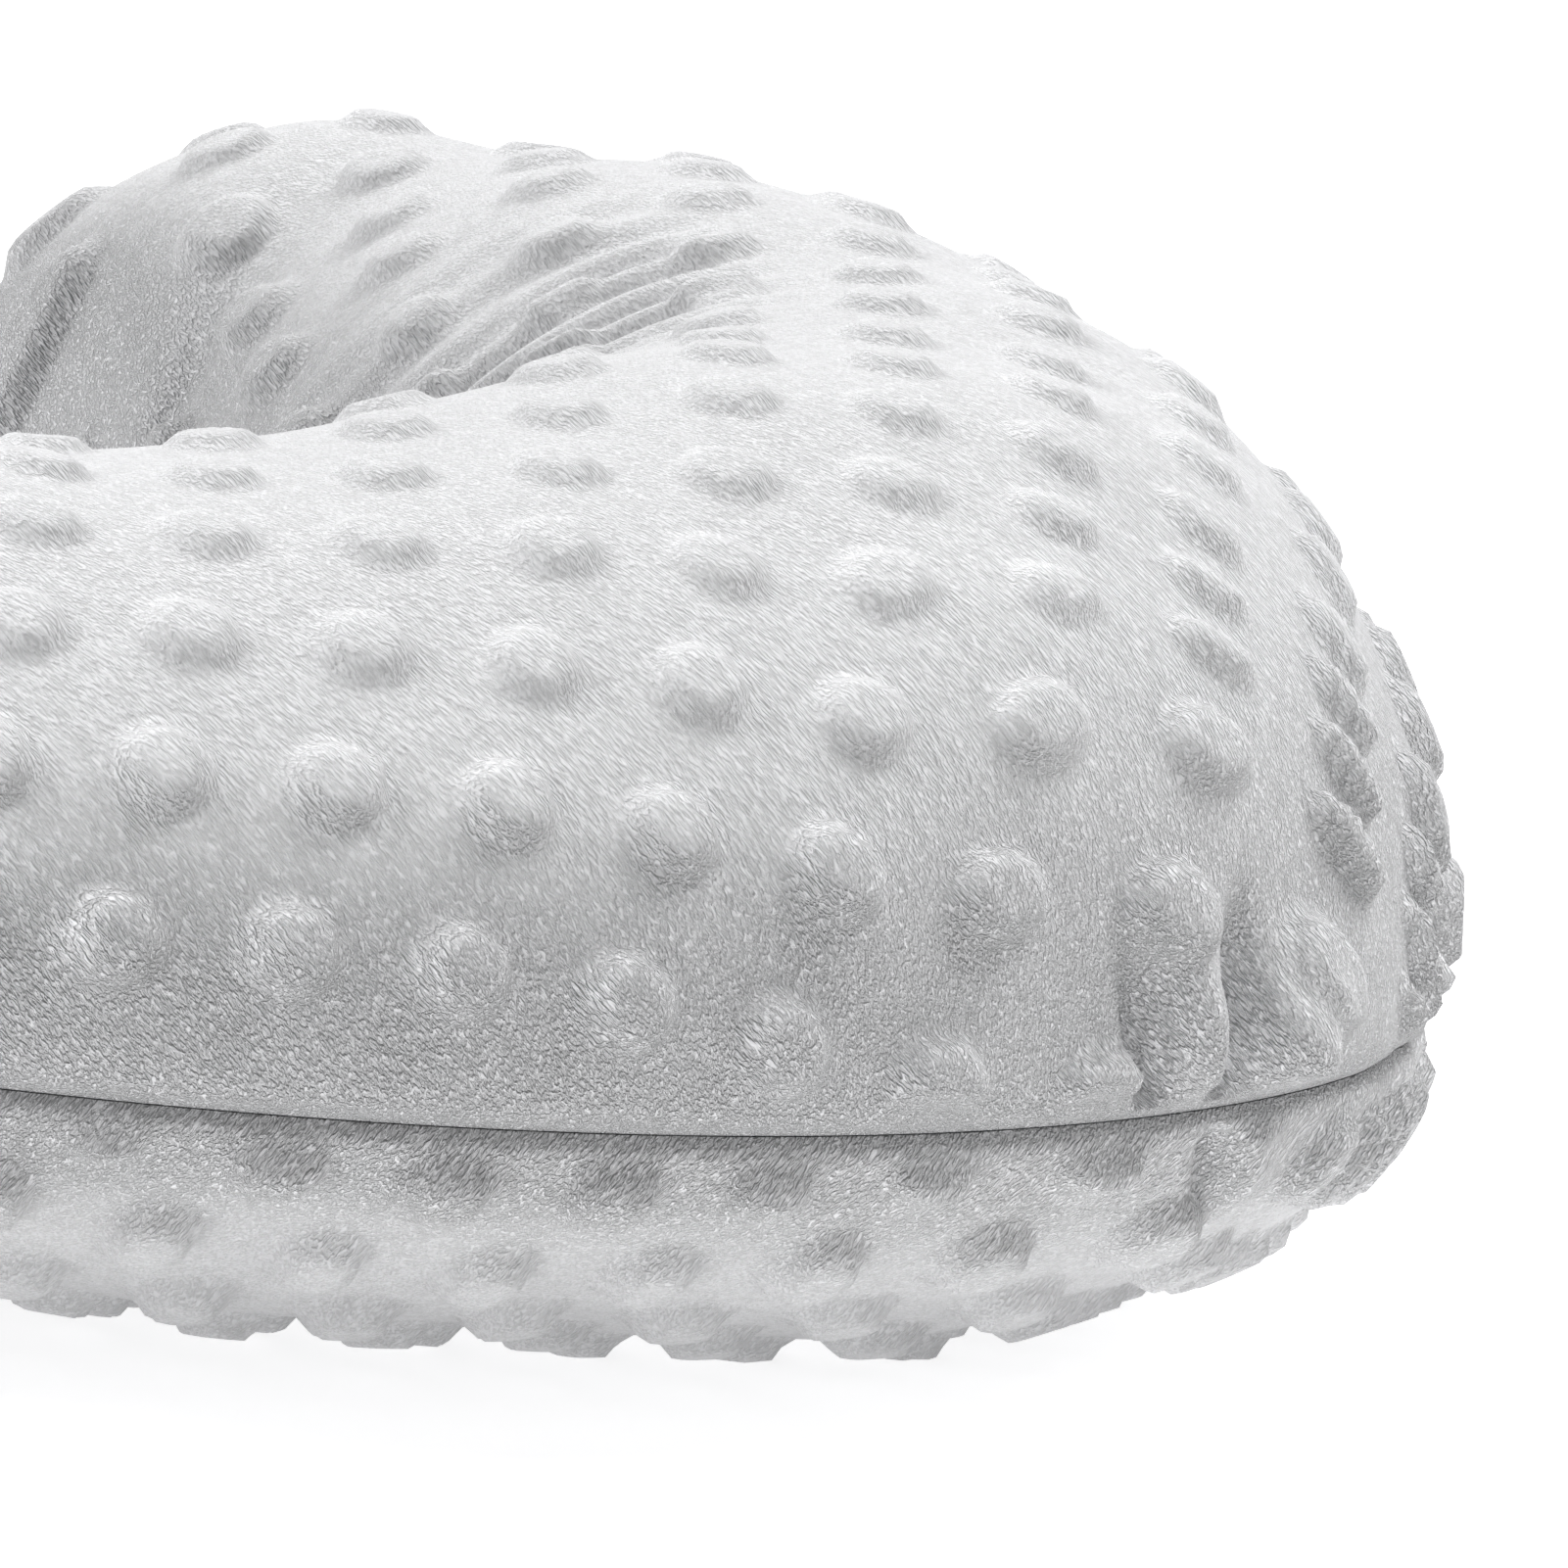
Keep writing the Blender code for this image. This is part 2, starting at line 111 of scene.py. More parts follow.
# ---- Care label ----
LABEL_HEADING = math.radians(104)
LABEL_WIDTH = 0.034
LABEL_DROP = 0.026
LABEL_LIFT = 0.0042
LABEL_LIFT_RUN = 0.010
LABEL_START = 0.0005
LABEL_CURL = 0.0008
LABEL_WAVES = 1.1
LABEL_STATIONS = 40
LABEL_LEVELS = 30

# ---- Pile ----
PILE_LENGTH = 0.0019
PILE_WIDTH = 0.00045
PILE_DEPTH = 0.0011
PILE_FINE_RANGE = (0.33, 0.67)
TUFT_RANGE = (0.30, 0.70)
TUFT_LENGTH = 2.4 * PILE_LENGTH
TUFT_WIDTH = 5 * PILE_WIDTH
TUFT_SHARE = 0.30
PILE_BUMP = 1.0
PILE_FLAT_BUMP = 0.55
# painted highlight and painted shade on the dots' sides: the colour is lighter where the fabric turns away
# from the pile's way and darker where it turns towards it, in place of lamp light; partly the pile's own
# lay
PAINTED_LIGHT_TURN = 0.55
PAINTED_HIGHLIGHT_GAIN = 1.15
PAINTED_SHADE_GAIN = 0.80
PILE_SHADE = (0.50, 0.50, 0.508)
PILE_TIP = (0.63, 0.63, 0.642)
TOP_PILE_WAY = (0.62, -0.52, -0.58)
BOTTOM_PILE_WAY = (0.55, 0.50, 0.66)

# ---- Other fabrics ----
TAPE_COLOUR = (0.50, 0.50, 0.51)
TAPE_RIB = 0.0005
CASING_COLOUR = (0.80, 0.80, 0.77)
CASING_THREAD = 0.0004
LABEL_COLOUR = (0.62, 0.62, 0.61)
LABEL_THREAD = 0.0002
FIBRE_COLOUR = (0.88, 0.88, 0.87)
NYLON_COLOUR = (0.62, 0.62, 0.64)
METAL_COLOUR = (0.62, 0.62, 0.63)

# ---- Unevenness, gathers and folds ----
SEED = 7
WAVES = 14
WAVE_LENGTHS = (0.035, 0.085)
WAVE_DEPTH = 0.0007
WAVE_EDGE_FADE = 0.03
TIP_FADE = 0.35
GATHER_PITCH = 0.0105
GATHER_DEPTH = 0.0007
GATHER_REACH = 0.011
GATHER_START = 0.02
GATHER_FADE = 0.03
GATHER_WANDER = ((1.7, 61.0), (0.9, 143.0))
FOLD_PLACE = 0.238
FOLD_PITCH = 0.0130
FOLD_DEPTH = 0.0019
FOLD_REACH = 0.034
FOLD_START = 0.14
FOLD_FADE = 0.36
FOLD_LEAN = 0.12
FOLD_WANDER = (0.8, 90.0)
FOLD_UNEVEN = 1.3
FOLD_SINK = 0.25
FOLD_VARY = 0.35
PUCKER_SIZE = 0.0078
PUCKER_OFFSET = 0.0010
FAR_PUCKER = 0.35
PUCKER_CLEAR = 0.0015
PUCKER_FADE = 0.004
# places run along the outer seam from the zip's end, heights up the panel from the seam
TOP_GROOVES = (
    {"place": 0.0, "lean": 0.22, "width": 0.0036, "end": 0.036, "fade": 0.024, "depth": 1.15},
    {"place": -0.0155, "lean": -0.22, "width": 0.0034, "end": 0.030, "fade": 0.018, "depth": 0.90},
)
TOP_BULGES = (
    {"place": -0.0085, "width": 0.0052, "level": 0.012, "height": 0.012, "stand": 0.75},
    {"place": 0.0150, "width": 0.0100, "level": 0.008, "height": 0.010, "stand": 1.15},
)
BOTTOM_GROOVES = (
    {"place": 0.0020, "lean": 0.30, "width": 0.0036, "end": 0.022, "fade": 0.016, "depth": 0.75},
)
BOTTOM_BULGES = (
    {"place": 0.0130, "width": 0.0080, "level": 0.011, "height": 0.008, "stand": 0.30},
)

CASING_SLACK = 0.0006
FIBRE_LUMPS = 0.0010

# ---- Mesh fineness ----
COVER_STATIONS = 600
COVER_COLUMNS = 148
SECTION_SAMPLES = 181
INSERT_STATIONS = 320
INSERT_COLUMNS = 72

# ---- Camera ----
VIEW_AZIMUTH = math.radians(-18.90)
VIEW_ELEVATION = math.radians(10.82)
VIEW_ROLL = 0.161
VIEW_DISTANCE = 2.600
VIEW_LENS = 414.0
VIEW_TARGET = (0.1350, -0.0376, 0.0624)
VIEW_SENSOR = 36.0
VIEW_END = 50.0

# ---- Light ----
WORLD_STRENGTH = 0.34
KEY_STRENGTH = 1.42
KEY_AZIMUTH = math.radians(125)
KEY_ELEVATION = math.radians(50)
KEY_SPREAD = math.radians(35)
SIDE_STRENGTH = 0.78
SIDE_AZIMUTH = math.radians(-95)
SIDE_ELEVATION = math.radians(30)
SIDE_SPREAD = math.radians(25)
FLOOR_GLOW = 0.58
FLOOR_WHITE = (0.93, 0.93, 0.93)
FLOOR_HALF = 6.0


def ease(value):
    """0 to 1 with level ends, for values from 0 to 1."""
    t = np.clip(value, 0.0, 1.0)
    return t * t * (3 - 2 * t)


# ---- The tube's surface ----


def centre_line(s):
    """x, y and heading of the plan's centre line at arc lengths s, where s < 0 is the -X half."""
    x = np.zeros_like(s)
    y = np.zeros_like(s)
    heading = np.zeros_like(s)
    left = np.abs(s)
    for radius, angle in ARCS:
        turn = np.minimum(left / radius, angle)
        x += radius * (np.sin(heading + turn) - np.sin(heading))
        y += radius * (np.cos(heading) - np.cos(heading + turn))
        heading += turn
        left = left - radius * turn
    side = np.where(s < 0, -1.0, 1.0)
    return side * x, y, side * heading


def arm_share(s):
    return ease((np.abs(s) - TAPER_LENGTH) / (BODY_END - TAPER_LENGTH))


def half_width(s):
    side = ease((np.abs(s) - CLOSED_LENGTH) / (CORNER_LENGTH - CLOSED_LENGTH))
    width = CLOSED_HALF_WIDTH + (SIDE_HALF_WIDTH - CLOSED_HALF_WIDTH) * side
    return width + (ARM_HALF_WIDTH - SIDE_HALF_WIDTH) * arm_share(s)


def rise(s):
    height = CLOSED_RISE + (CORNER_RISE - CLOSED_RISE) * ease(np.abs(s) / CLOSED_LENGTH)
    return height + (ARM_RISE - CORNER_RISE) * arm_share(s)


def tip_factor(s, inset=0.0):
    run = np.clip((np.abs(s) - BODY_END) / (ARM_HALF_WIDTH - inset), 0.0, 1.0)
    return np.sqrt(1 - run**2)


def plan_shift():
    s = np.linspace(0, HALF_LENGTH, 800)
    _, y, heading = centre_line(s)
    reach = half_width(s) * tip_factor(s)
    edges = np.concatenate([y - reach * np.cos(heading), y + reach * np.cos(heading)])
    return -(edges.min() + edges.max()) / 2


Y_SHIFT = plan_shift()


def lower_depth(s):
    """Depth below the seam; the closed middle is thinner and clears the floor."""
    return LOWER_DEPTH - MIDDLE_LIFT * (1 - ease(np.abs(s) / CLOSED_LENGTH))


def ease_cloth(u, v):
    """The flat fabric's own places, after it was pulled round the two corners and skewed."""
    beyond = np.maximum(np.abs(u) - CORNER_PULL_START, 0.0)
    pull = beyond**2 / (beyond + CORNER_PULL_SOFT)
    front = ease((CORNER_PULL_BACK - v) / CORNER_PULL_FADE)
    flat_v = v - CORNER_PULL_ROWS * pull * front
    flat_u = np.abs(u) - CORNER_PULL_COLUMNS * pull * front
    flat_u = np.where(u < 0, -flat_u, flat_u)
    return np.stack([flat_u, flat_v], axis=-1)


class Surface:
    """A regular grid over one panel: rows along the tube, columns across it."""

    def __init__(self, upper, stations, columns, inset=0.0, outer_inset=None):
        sign = 1.0 if upper else -1.0
        outer_inset = inset if outer_inset is None else outer_inset
        s = station_list(stations, inset)[:, None]
        share = tip_factor(s, inset)
        angle = np.linspace(0, math.pi, SECTION_SAMPLES)[None, :]
        outward = np.cos(angle) * share
        reach = outward * (half_width(s) - np.where(outward > 0, outer_inset, inset))
        height = (rise(s) if upper else lower_depth(s)) - inset
        z = np.maximum(SEAM_HEIGHT + sign * height * np.sin(angle) * share, inset)
        step = np.hypot(np.diff(reach, axis=1), np.diff(z, axis=1))
        length = np.concatenate([np.zeros_like(s), np.cumsum(step, axis=1)], axis=1)
        crown = (length[:, -1:] / 2)[:, 0]
        even = np.linspace(0, 1, columns + 1)
        self.s = s[:, 0]
        self.reach = np.empty((len(s), columns + 1))
        self.z = np.empty_like(self.reach)
        self.edge = np.empty_like(self.reach)
        for row in range(len(s)):
            want = even * length[row, -1]
            self.reach[row] = np.interp(want, length[row], reach[row])
            self.z[row] = np.interp(want, length[row], z[row])
            self.edge[row] = np.minimum(want, length[row, -1] - want)
        self.length = length[:, -1]
        self.across = crown[:, None] - even[None, :] * self.length[:, None]
        self.upper = upper
        self.points = self.place()
        self.flat = self.flat_map()

    def place(self):
        x, y, heading = (value[:, None] for value in centre_line(self.s))
        return np.stack(
            [
                x + self.reach * np.sin(heading),
                y + Y_SHIFT - self.reach * np.cos(heading),
                self.z,
            ],
            axis=-1,
        )

    def flat_map(self):
        """Where each point lay in the fabric before the panel was cut and filled."""
        x, y, heading = (value[:, None] for value in centre_line(self.s))
        swap = ease((np.abs(heading) - TURN_START) / TURN_FADE)
        sideways = self.reach + (self.across - self.reach) * swap
        forward = self.across + (self.reach - self.across) * swap
        u = x + np.sin(heading) * sideways
        v = y + Y_SHIFT - np.cos(heading) * forward
        return ease_cloth(u, v)

    def normals(self):
        return grid_normals(self.points, self.upper)


def grid_normals(points, upper):
    """Outward normals of a grid of points whose first and last rows are single points."""
    along = np.gradient(points, axis=0)
    over = np.gradient(points, axis=1)
    normal = np.cross(along, over) * (1.0 if upper else -1.0)
    size = np.linalg.norm(normal, axis=-1, keepdims=True)
    normal = normal / np.maximum(size, 1e-12)
    normal[0] = normal[1].mean(axis=0)
    normal[-1] = normal[-2].mean(axis=0)
    return normal


def station_list(count, inset):
    """Arc lengths from one tip to the other, evenly spaced along the outer seam."""
    end = BODY_END + (ARM_HALF_WIDTH - inset)
    turn = np.linspace(0, math.pi / 2, 200)
    body = np.linspace(0, BODY_END, 1200)
    fine = np.concatenate([body, BODY_END + (end - BODY_END) * np.sin(turn[1:])])
    x, y, heading = centre_line(fine)
    reach = half_width(fine) * tip_factor(fine, inset)
    outline = np.stack([x + reach * np.sin(heading), y - reach * np.cos(heading)], axis=-1)
    travel = np.concatenate([[0.0], np.cumsum(np.linalg.norm(np.diff(outline, axis=0), axis=1))])
    half = np.interp(np.linspace(0, travel[-1], count // 2 + 1), travel, fine)
    return np.concatenate([-half[:0:-1], half])


def steepness(normal):
    """0 on level fabric to 1 on upright fabric."""
    return ease((STEEP_FROM - np.abs(normal[..., 2])) / STEEP_RANGE)


def grid_area(points):
    """Area of a grid of points, for the cloth's size before its relief was shaped."""
    first = points[1:, 1:] - points[:-1, :-1]
    second = points[1:, :-1] - points[:-1, 1:]
    return float(np.linalg.norm(np.cross(first, second), axis=-1).sum() / 2)


def mesh_from_grid(name, points, flat, upper):
    """A mesh over a grid whose first and last rows are single points."""
    rows, columns = points.shape[:2]
    verts = points.reshape(-1, 3)
    index = np.arange(rows * columns).reshape(rows, columns)
    quads = np.stack([index[:-1, :-1], index[1:, :-1], index[1:, 1:], index[:-1, 1:]], axis=-1)
    quads = quads.reshape(-1, 4)
    if not upper:
        quads = quads[:, ::-1]
    mesh = bpy.data.meshes.new(name)
    mesh.from_pydata(verts.tolist(), [], quads.tolist())
    uv = mesh.uv_layers.new(name="flat")
    corner = np.empty(len(mesh.loops), dtype=np.int32)
    mesh.loops.foreach_get("vertex_index", corner)
    uv.data.foreach_set("uv", flat.reshape(-1, 2)[corner].astype(np.float32).ravel())
    mesh.shade_smooth()
    obj = bpy.data.objects.new(name, mesh)
    bpy.context.scene.collection.objects.link(obj)
    return obj


# ---- Cover relief ----


def dots(flat, lattice):
    """Height of the raised dots, 0 to 1, at places in the flat fabric."""
    steps = np.array([lattice["column"], lattice["row"]])
    cell = (flat - np.array(lattice["first"])) @ np.linalg.inv(steps)
    away = (cell - np.round(cell)) @ steps
    distance = np.linalg.norm(away, axis=-1) / DOT_RADIUS
    return ease(np.clip(1 - distance**2, 0, 1) * DOT_EDGE)


def bell(value, width):
    return np.exp(-((value / width) ** 2))


def undulation(points):
    """Soft unevenness of a stuffed cushion, from -1 to 1, the same on both panels at a seam."""
    draw = np.random.default_rng(SEED)
    total = np.zeros(points.shape[:-1])
    for _ in range(WAVES):
        way = draw.normal(size=3)
        way *= 2 * math.pi / (draw.uniform(*WAVE_LENGTHS) * np.linalg.norm(way))
        total += np.sin(points @ way + draw.uniform(0, 2 * math.pi))
    return total / math.sqrt(WAVES)


def groove(along, up, place, lean, width, end, fade, depth):
    return -depth * bell(along - place - lean * up, width) * ease((end - up) / fade)


def bulge(along, up, place, width, level, height, stand):
    return stand * bell(along - place, width) * bell(up - level, height)


def pucker(surface, side):
    """Gathers at one end of the zip: grooves run up and down from the seam, with bulges beside them."""
    size = PUCKER_SIZE if side > 0 else PUCKER_SIZE * FAR_PUCKER
    stretch = (CLOSED_RADIUS + CLOSED_HALF_WIDTH) / CLOSED_RADIUS
    along = ((side * surface.s - ZIP_END) * stretch - PUCKER_OFFSET)[:, None]
    up = surface.edge
    grooves = TOP_GROOVES if surface.upper else BOTTOM_GROOVES
    bulges = TOP_BULGES if surface.upper else BOTTOM_BULGES
    shape = sum(groove(along, up, **sizes) for sizes in grooves)
    shape = shape + sum(bulge(along, up, **sizes) for sizes in bulges)
    outside = surface.reach > 0
    return size * shape * outside * ease((up - PUCKER_CLEAR) / PUCKER_FADE)


def gathers(surface):
    """Small ripples of eased fabric beside the sewn seams, outside the zip's smooth stretch."""
    plain = ease((np.abs(surface.s) - ZIP_END - GATHER_START) / GATHER_FADE)[:, None]
    inner = surface.reach < 0
    strength = np.where(inner, 1.0, plain)
    phase = surface.s[:, None] * 2 * math.pi / GATHER_PITCH
    wander = sum(size * np.sin(surface.s * rate) for size, rate in GATHER_WANDER)[:, None]
    return GATHER_DEPTH * strength * np.sin(phase + wander) * bell(surface.edge, GATHER_REACH)


def bend_folds(surface):
    """Folds pressed into the inside of the two corners, running round the tube."""
    away = np.abs(surface.s)[:, None] - FOLD_PLACE
    inward = ease((-surface.reach / half_width(surface.s)[:, None] - FOLD_START) / FOLD_FADE)
    uneven = undulation(surface.points)
    size, rate = FOLD_WANDER
    phase = (away + FOLD_LEAN * surface.across) * 2 * math.pi / FOLD_PITCH
    wave = np.sin(phase + size * np.sin(away * rate) + FOLD_UNEVEN * uneven) - FOLD_SINK
    return FOLD_DEPTH * inward * bell(away, FOLD_REACH) * wave * (1 + FOLD_VARY * uneven)


def relief(surface, lattice):
    """How far each cover point stands out from the plain tube, along its normal."""
    near, clear = DOT_SEAM_FADE
    fade = ease((surface.edge - near) / (clear - near))
    tip = ease(tip_factor(surface.s) / TIP_FADE)[:, None]
    level_share = DOT_LEVEL_SHARE if surface.upper else 1.0
    stand = level_share + (1 - level_share) * steepness(surface.normals())
    out = DOT_HEIGHT * stand * dots(surface.flat, lattice) * fade * tip
    out = out + WAVE_DEPTH * undulation(surface.points) * ease(surface.edge / WAVE_EDGE_FADE)
    out = out + (gathers(surface) + bend_folds(surface)) * tip
    return out + pucker(surface, 1.0) + pucker(surface, -1.0)


def add_values(obj, name, values):
    """Stores one number a vertex, which a material reads."""
    layer = obj.data.attributes.new(name, "FLOAT", "POINT")
    layer.data.foreach_set("value", values.ravel().astype(np.float32))


def build_cover_panel(name, upper, lattice, pile_way):
    surface = Surface(upper, COVER_STATIONS, COVER_COLUMNS)
    normal = surface.normals()
    points = surface.points + normal * relief(surface, lattice)[..., None]
    # the edge rolls over and tucks in at the seam
    tuck = SEAM_TUCK * bell(surface.edge, SEAM_TUCK_WIDTH)
    roll = (SEAM_ROLL if upper else LOWER_SEAM_ROLL) * bell(surface.edge - SEAM_ROLL_PLACE, SEAM_ROLL_WIDTH)
    shift = (roll - tuck) * np.where(surface.reach > 0, 1.0, -1.0)
    _, _, heading = centre_line(surface.s)
    shift = shift * tip_factor(surface.s)[:, None]
    points[..., 0] += shift * np.sin(heading)[:, None]
    points[..., 1] -= shift * np.cos(heading)[:, None]
    lift = SEAM_GAP / 2 if upper else -SEAM_GAP / 2
    points[..., 2] += lift * bell(surface.edge, SEAM_LIFT_WIDTH)
    points[..., 2] = np.maximum(points[..., 2], FLOOR_GAP)
    obj = mesh_from_grid(name, points, surface.flat, upper)
    # how far the relief turns the fabric towards the pile's way, stored for the material's painted shade
    # and painted highlight on the dots' sides
    turned = grid_normals(points, upper) - normal
    add_values(obj, "pile", steepness(normal))
    add_values(obj, "pile_turn_painted_light", turned @ np.array(Vector(pile_way).normalized()))
    return obj, surface, points - normal * TAPE_INSET


def build_tape(name, surface, behind):
    """A strip of the zip's tape, just behind the cover beside its slit."""
    along = np.abs(surface.s) < ZIP_END
    middle = len(surface.s) // 2
    near_seam = (surface.edge[middle] < TAPE_WIDTH) & (surface.reach[middle] > 0)
    across = int(np.sum(near_seam))
    strip = behind[along, 1:across]
    return mesh_from_grid(name, strip, surface.flat[along, 1:across], surface.upper)


# ---- Inner casing and filling ----


def inner_points(surface, depth):
    """A surface inside the cover, softly uneven and never further out than its inset."""
    sink = depth * (undulation(surface.points) - 2.0) * ease(surface.edge / WAVE_EDGE_FADE)
    return surface.points + surface.normals() * sink[..., None]


def build_casing(name, upper):
    surface = Surface(upper, INSERT_STATIONS, INSERT_COLUMNS, CASING_INSET, CASING_ZIP_INSET)
    obj = mesh_from_grid(name, inner_points(surface, CASING_SLACK), surface.flat, upper)
    return obj, grid_area(surface.points)


def build_filling(name):
    """The fibre as one closed lump: the upper grid goes round into the lower one."""
    halves = []
    for upper in (True, False):
        surface = Surface(upper, INSERT_STATIONS, INSERT_COLUMNS, FILLING_INSET, FILLING_ZIP_INSET)
        halves.append((inner_points(surface, FIBRE_LUMPS), surface.flat))
    points = np.concatenate([halves[0][0], halves[1][0][:, ::-1]], axis=1)
    flat = np.concatenate([halves[0][1], halves[1][1][:, ::-1]], axis=1)
    return mesh_from_grid(name, points, flat, True)


# ---- Zip coil and care label ----


def build_coil(name, sign):
    """A spiral of nylon wire along one tape's edge."""
    outer = CLOSED_RADIUS + CLOSED_HALF_WIDTH
    end = ZIP_ANGLE - STOP_ROOM / outer
    turns = int(2 * end * outer / COIL_PITCH)
    turn = np.linspace(0, 2 * math.pi * turns, turns * COIL_STEPS + 1)
    angle = np.linspace(-end, end, len(turn))
    radius = outer + COIL_RADIAL + (COIL_DEPTH - COIL_WIRE) / 2 * np.cos(turn)
    level = sign * (COIL_LEVEL + (COIL_HEIGHT - COIL_WIRE) / 2 * np.sin(turn))
    path = np.stack(
        [radius * np.sin(angle), CLOSED_RADIUS + Y_SHIFT - radius * np.cos(angle), SEAM_HEIGHT + level],
        axis=-1,
    )
    ahead = np.gradient(path, axis=0)
    ahead /= np.linalg.norm(ahead, axis=1, keepdims=True)
    along = np.stack([np.cos(angle), np.sin(angle), np.zeros_like(angle)], axis=-1)
    first = np.cross(ahead, along)
    first /= np.linalg.norm(first, axis=1, keepdims=True)
    second = np.cross(ahead, first)
    around = np.linspace(0, 2 * math.pi, COIL_SIDES + 1)[None, :, None]
    ring = first[:, None] * np.cos(around) + second[:, None] * np.sin(around)
    points = path[:, None] + COIL_WIRE / 2 * ring
    return mesh_from_grid(name, points, points[..., :2], True)


def build_label(name):
    """A blank label that hangs from one arm's outer seam, over the dots of the lower panel."""
    middle = -(CORNER_LENGTH + (LABEL_HEADING - math.pi / 2) * SIDE_RADIUS)
    s = np.linspace(middle - LABEL_WIDTH / 2, middle + LABEL_WIDTH / 2, LABEL_STATIONS)[:, None]
    drop = np.linspace(0, LABEL_DROP, LABEL_LEVELS)[None, :]
    share = np.sqrt(1 - (drop / LOWER_DEPTH) ** 2)
    out = LABEL_START + LABEL_LIFT * ease(drop / LABEL_LIFT_RUN)
    wave = np.sin((s - middle) * 2 * math.pi * LABEL_WAVES / LABEL_WIDTH)
    out = out + LABEL_CURL * ease(drop / LABEL_DROP) * wave
    reach = half_width(s) * share + out / share
    x, y, heading = centre_line(s)
    level = SEAM_HEIGHT - drop + 0 * s
    points = np.stack(
        [x + reach * np.sin(heading), y + Y_SHIFT - reach * np.cos(heading), level],
        axis=-1,
    )
    flat = np.stack([s + 0 * drop, drop + 0 * s], axis=-1)
    return mesh_from_grid(name, points, flat, False)


# ---- Materials ----


def new_material(name):
    made = bpy.data.materials.new(name)
    made.use_nodes = True
    tree = made.node_tree
    return made, tree, tree.nodes["Principled BSDF"]


def node(tree, kind, **settings):
    made = tree.nodes.new(kind)
    for key, value in settings.items():
        setattr(made, key, value)
    return made


def streaks(tree, way, length, width, detail):
    """A noise drawn out along one direction through the whole pillow."""
    link = tree.links.new
    place = node(tree, "ShaderNodeTexCoord")
    turn = node(tree, "ShaderNodeMapping")
    turn.inputs["Rotation"].default_value = Vector(way).rotation_difference(Vector((1, 0, 0))).to_euler()
    link(place.outputs["Object"], turn.inputs["Vector"])
    squash = node(tree, "ShaderNodeMapping")
    squash.inputs["Scale"].default_value = (1 / length, 1 / width, 1 / width)
    link(turn.outputs["Vector"], squash.inputs["Vector"])
    noise = node(tree, "ShaderNodeTexNoise")
    noise.inputs["Scale"].default_value = 1.0
    noise.inputs["Detail"].default_value = detail
    noise.inputs["Roughness"].default_value = 0.55
    noise.inputs["Distortion"].default_value = 0.25
    link(squash.outputs["Vector"], noise.inputs["Vector"])
    return noise.outputs["Fac"]


def stretch_range(tree, value, low, high):
    """Maps low..high to 0..1, softly clipped."""
    made = node(tree, "ShaderNodeMapRange", interpolation_type="SMOOTHSTEP")
    made.inputs["From Min"].default_value = low
    made.inputs["From Max"].default_value = high
    tree.links.new(value, made.inputs["Value"])
    return made.outputs["Result"]


def blend_values(tree, first, second, share):
    mix = node(tree, "ShaderNodeMix")
    mix.inputs["Factor"].default_value = share
    tree.links.new(first, mix.inputs["A"])
    tree.links.new(second, mix.inputs["B"])
    return mix.outputs["Result"]


def plush_material(name, way):
    """Short pile lying one way, with fine streaks along it; its colour is painted darker where the fabric
    turns that way and painted lighter where it turns away: painted shade and painted highlight on the dots'
    sides, partly the pile's own lay.
    """
    made, tree, shader = new_material(name)
    link = tree.links.new
    fine = stretch_range(tree, streaks(tree, way, PILE_LENGTH, PILE_WIDTH, 1.5), *PILE_FINE_RANGE)
    tuft = stretch_range(tree, streaks(tree, way, TUFT_LENGTH, TUFT_WIDTH, 2.0), *TUFT_RANGE)
    pile = blend_values(tree, fine, tuft, TUFT_SHARE)
    ramp = node(tree, "ShaderNodeValToRGB")
    ramp.color_ramp.elements[0].position = 0.08
    ramp.color_ramp.elements[0].color = (*PILE_SHADE, 1)
    ramp.color_ramp.elements[1].position = 0.80
    ramp.color_ramp.elements[1].color = (*PILE_TIP, 1)
    link(pile, ramp.inputs["Fac"])
    # painted shade and painted highlight: the base colour is scaled down where the fabric turns towards the
    # pile's way and up where it turns away
    pile_turn_painted_light = node(tree, "ShaderNodeAttribute", attribute_name="pile_turn_painted_light")
    painted_light_gain = node(tree, "ShaderNodeMapRange")
    painted_light_gain.inputs["From Min"].default_value = -PAINTED_LIGHT_TURN
    painted_light_gain.inputs["From Max"].default_value = PAINTED_LIGHT_TURN
    painted_light_gain.inputs["To Min"].default_value = PAINTED_HIGHLIGHT_GAIN
    painted_light_gain.inputs["To Max"].default_value = PAINTED_SHADE_GAIN
    link(pile_turn_painted_light.outputs["Fac"], painted_light_gain.inputs["Value"])
    scale = node(tree, "ShaderNodeVectorMath", operation="SCALE")
    link(ramp.outputs["Color"], scale.inputs["Vector"])
    link(painted_light_gain.outputs["Result"], scale.inputs["Scale"])
    link(scale.outputs["Vector"], shader.inputs["Base Color"])
    standing = node(tree, "ShaderNodeAttribute", attribute_name="pile")
    strength = node(tree, "ShaderNodeMapRange")
    strength.inputs["To Min"].default_value = PILE_FLAT_BUMP
    strength.inputs["To Max"].default_value = PILE_BUMP
    link(standing.outputs["Fac"], strength.inputs["Value"])
    bump = node(tree, "ShaderNodeBump")
    bump.inputs["Distance"].default_value = PILE_DEPTH
    link(strength.outputs["Result"], bump.inputs["Strength"])
    link(pile, bump.inputs["Height"])
    link(bump.outputs["Normal"], shader.inputs["Normal"])
    shader.inputs["Roughness"].default_value = 0.95
    shader.inputs["Specular IOR Level"].default_value = 0.12
    shader.inputs["Sheen Weight"].default_value = 0.20
    shader.inputs["Sheen Roughness"].default_value = 0.40
    return made


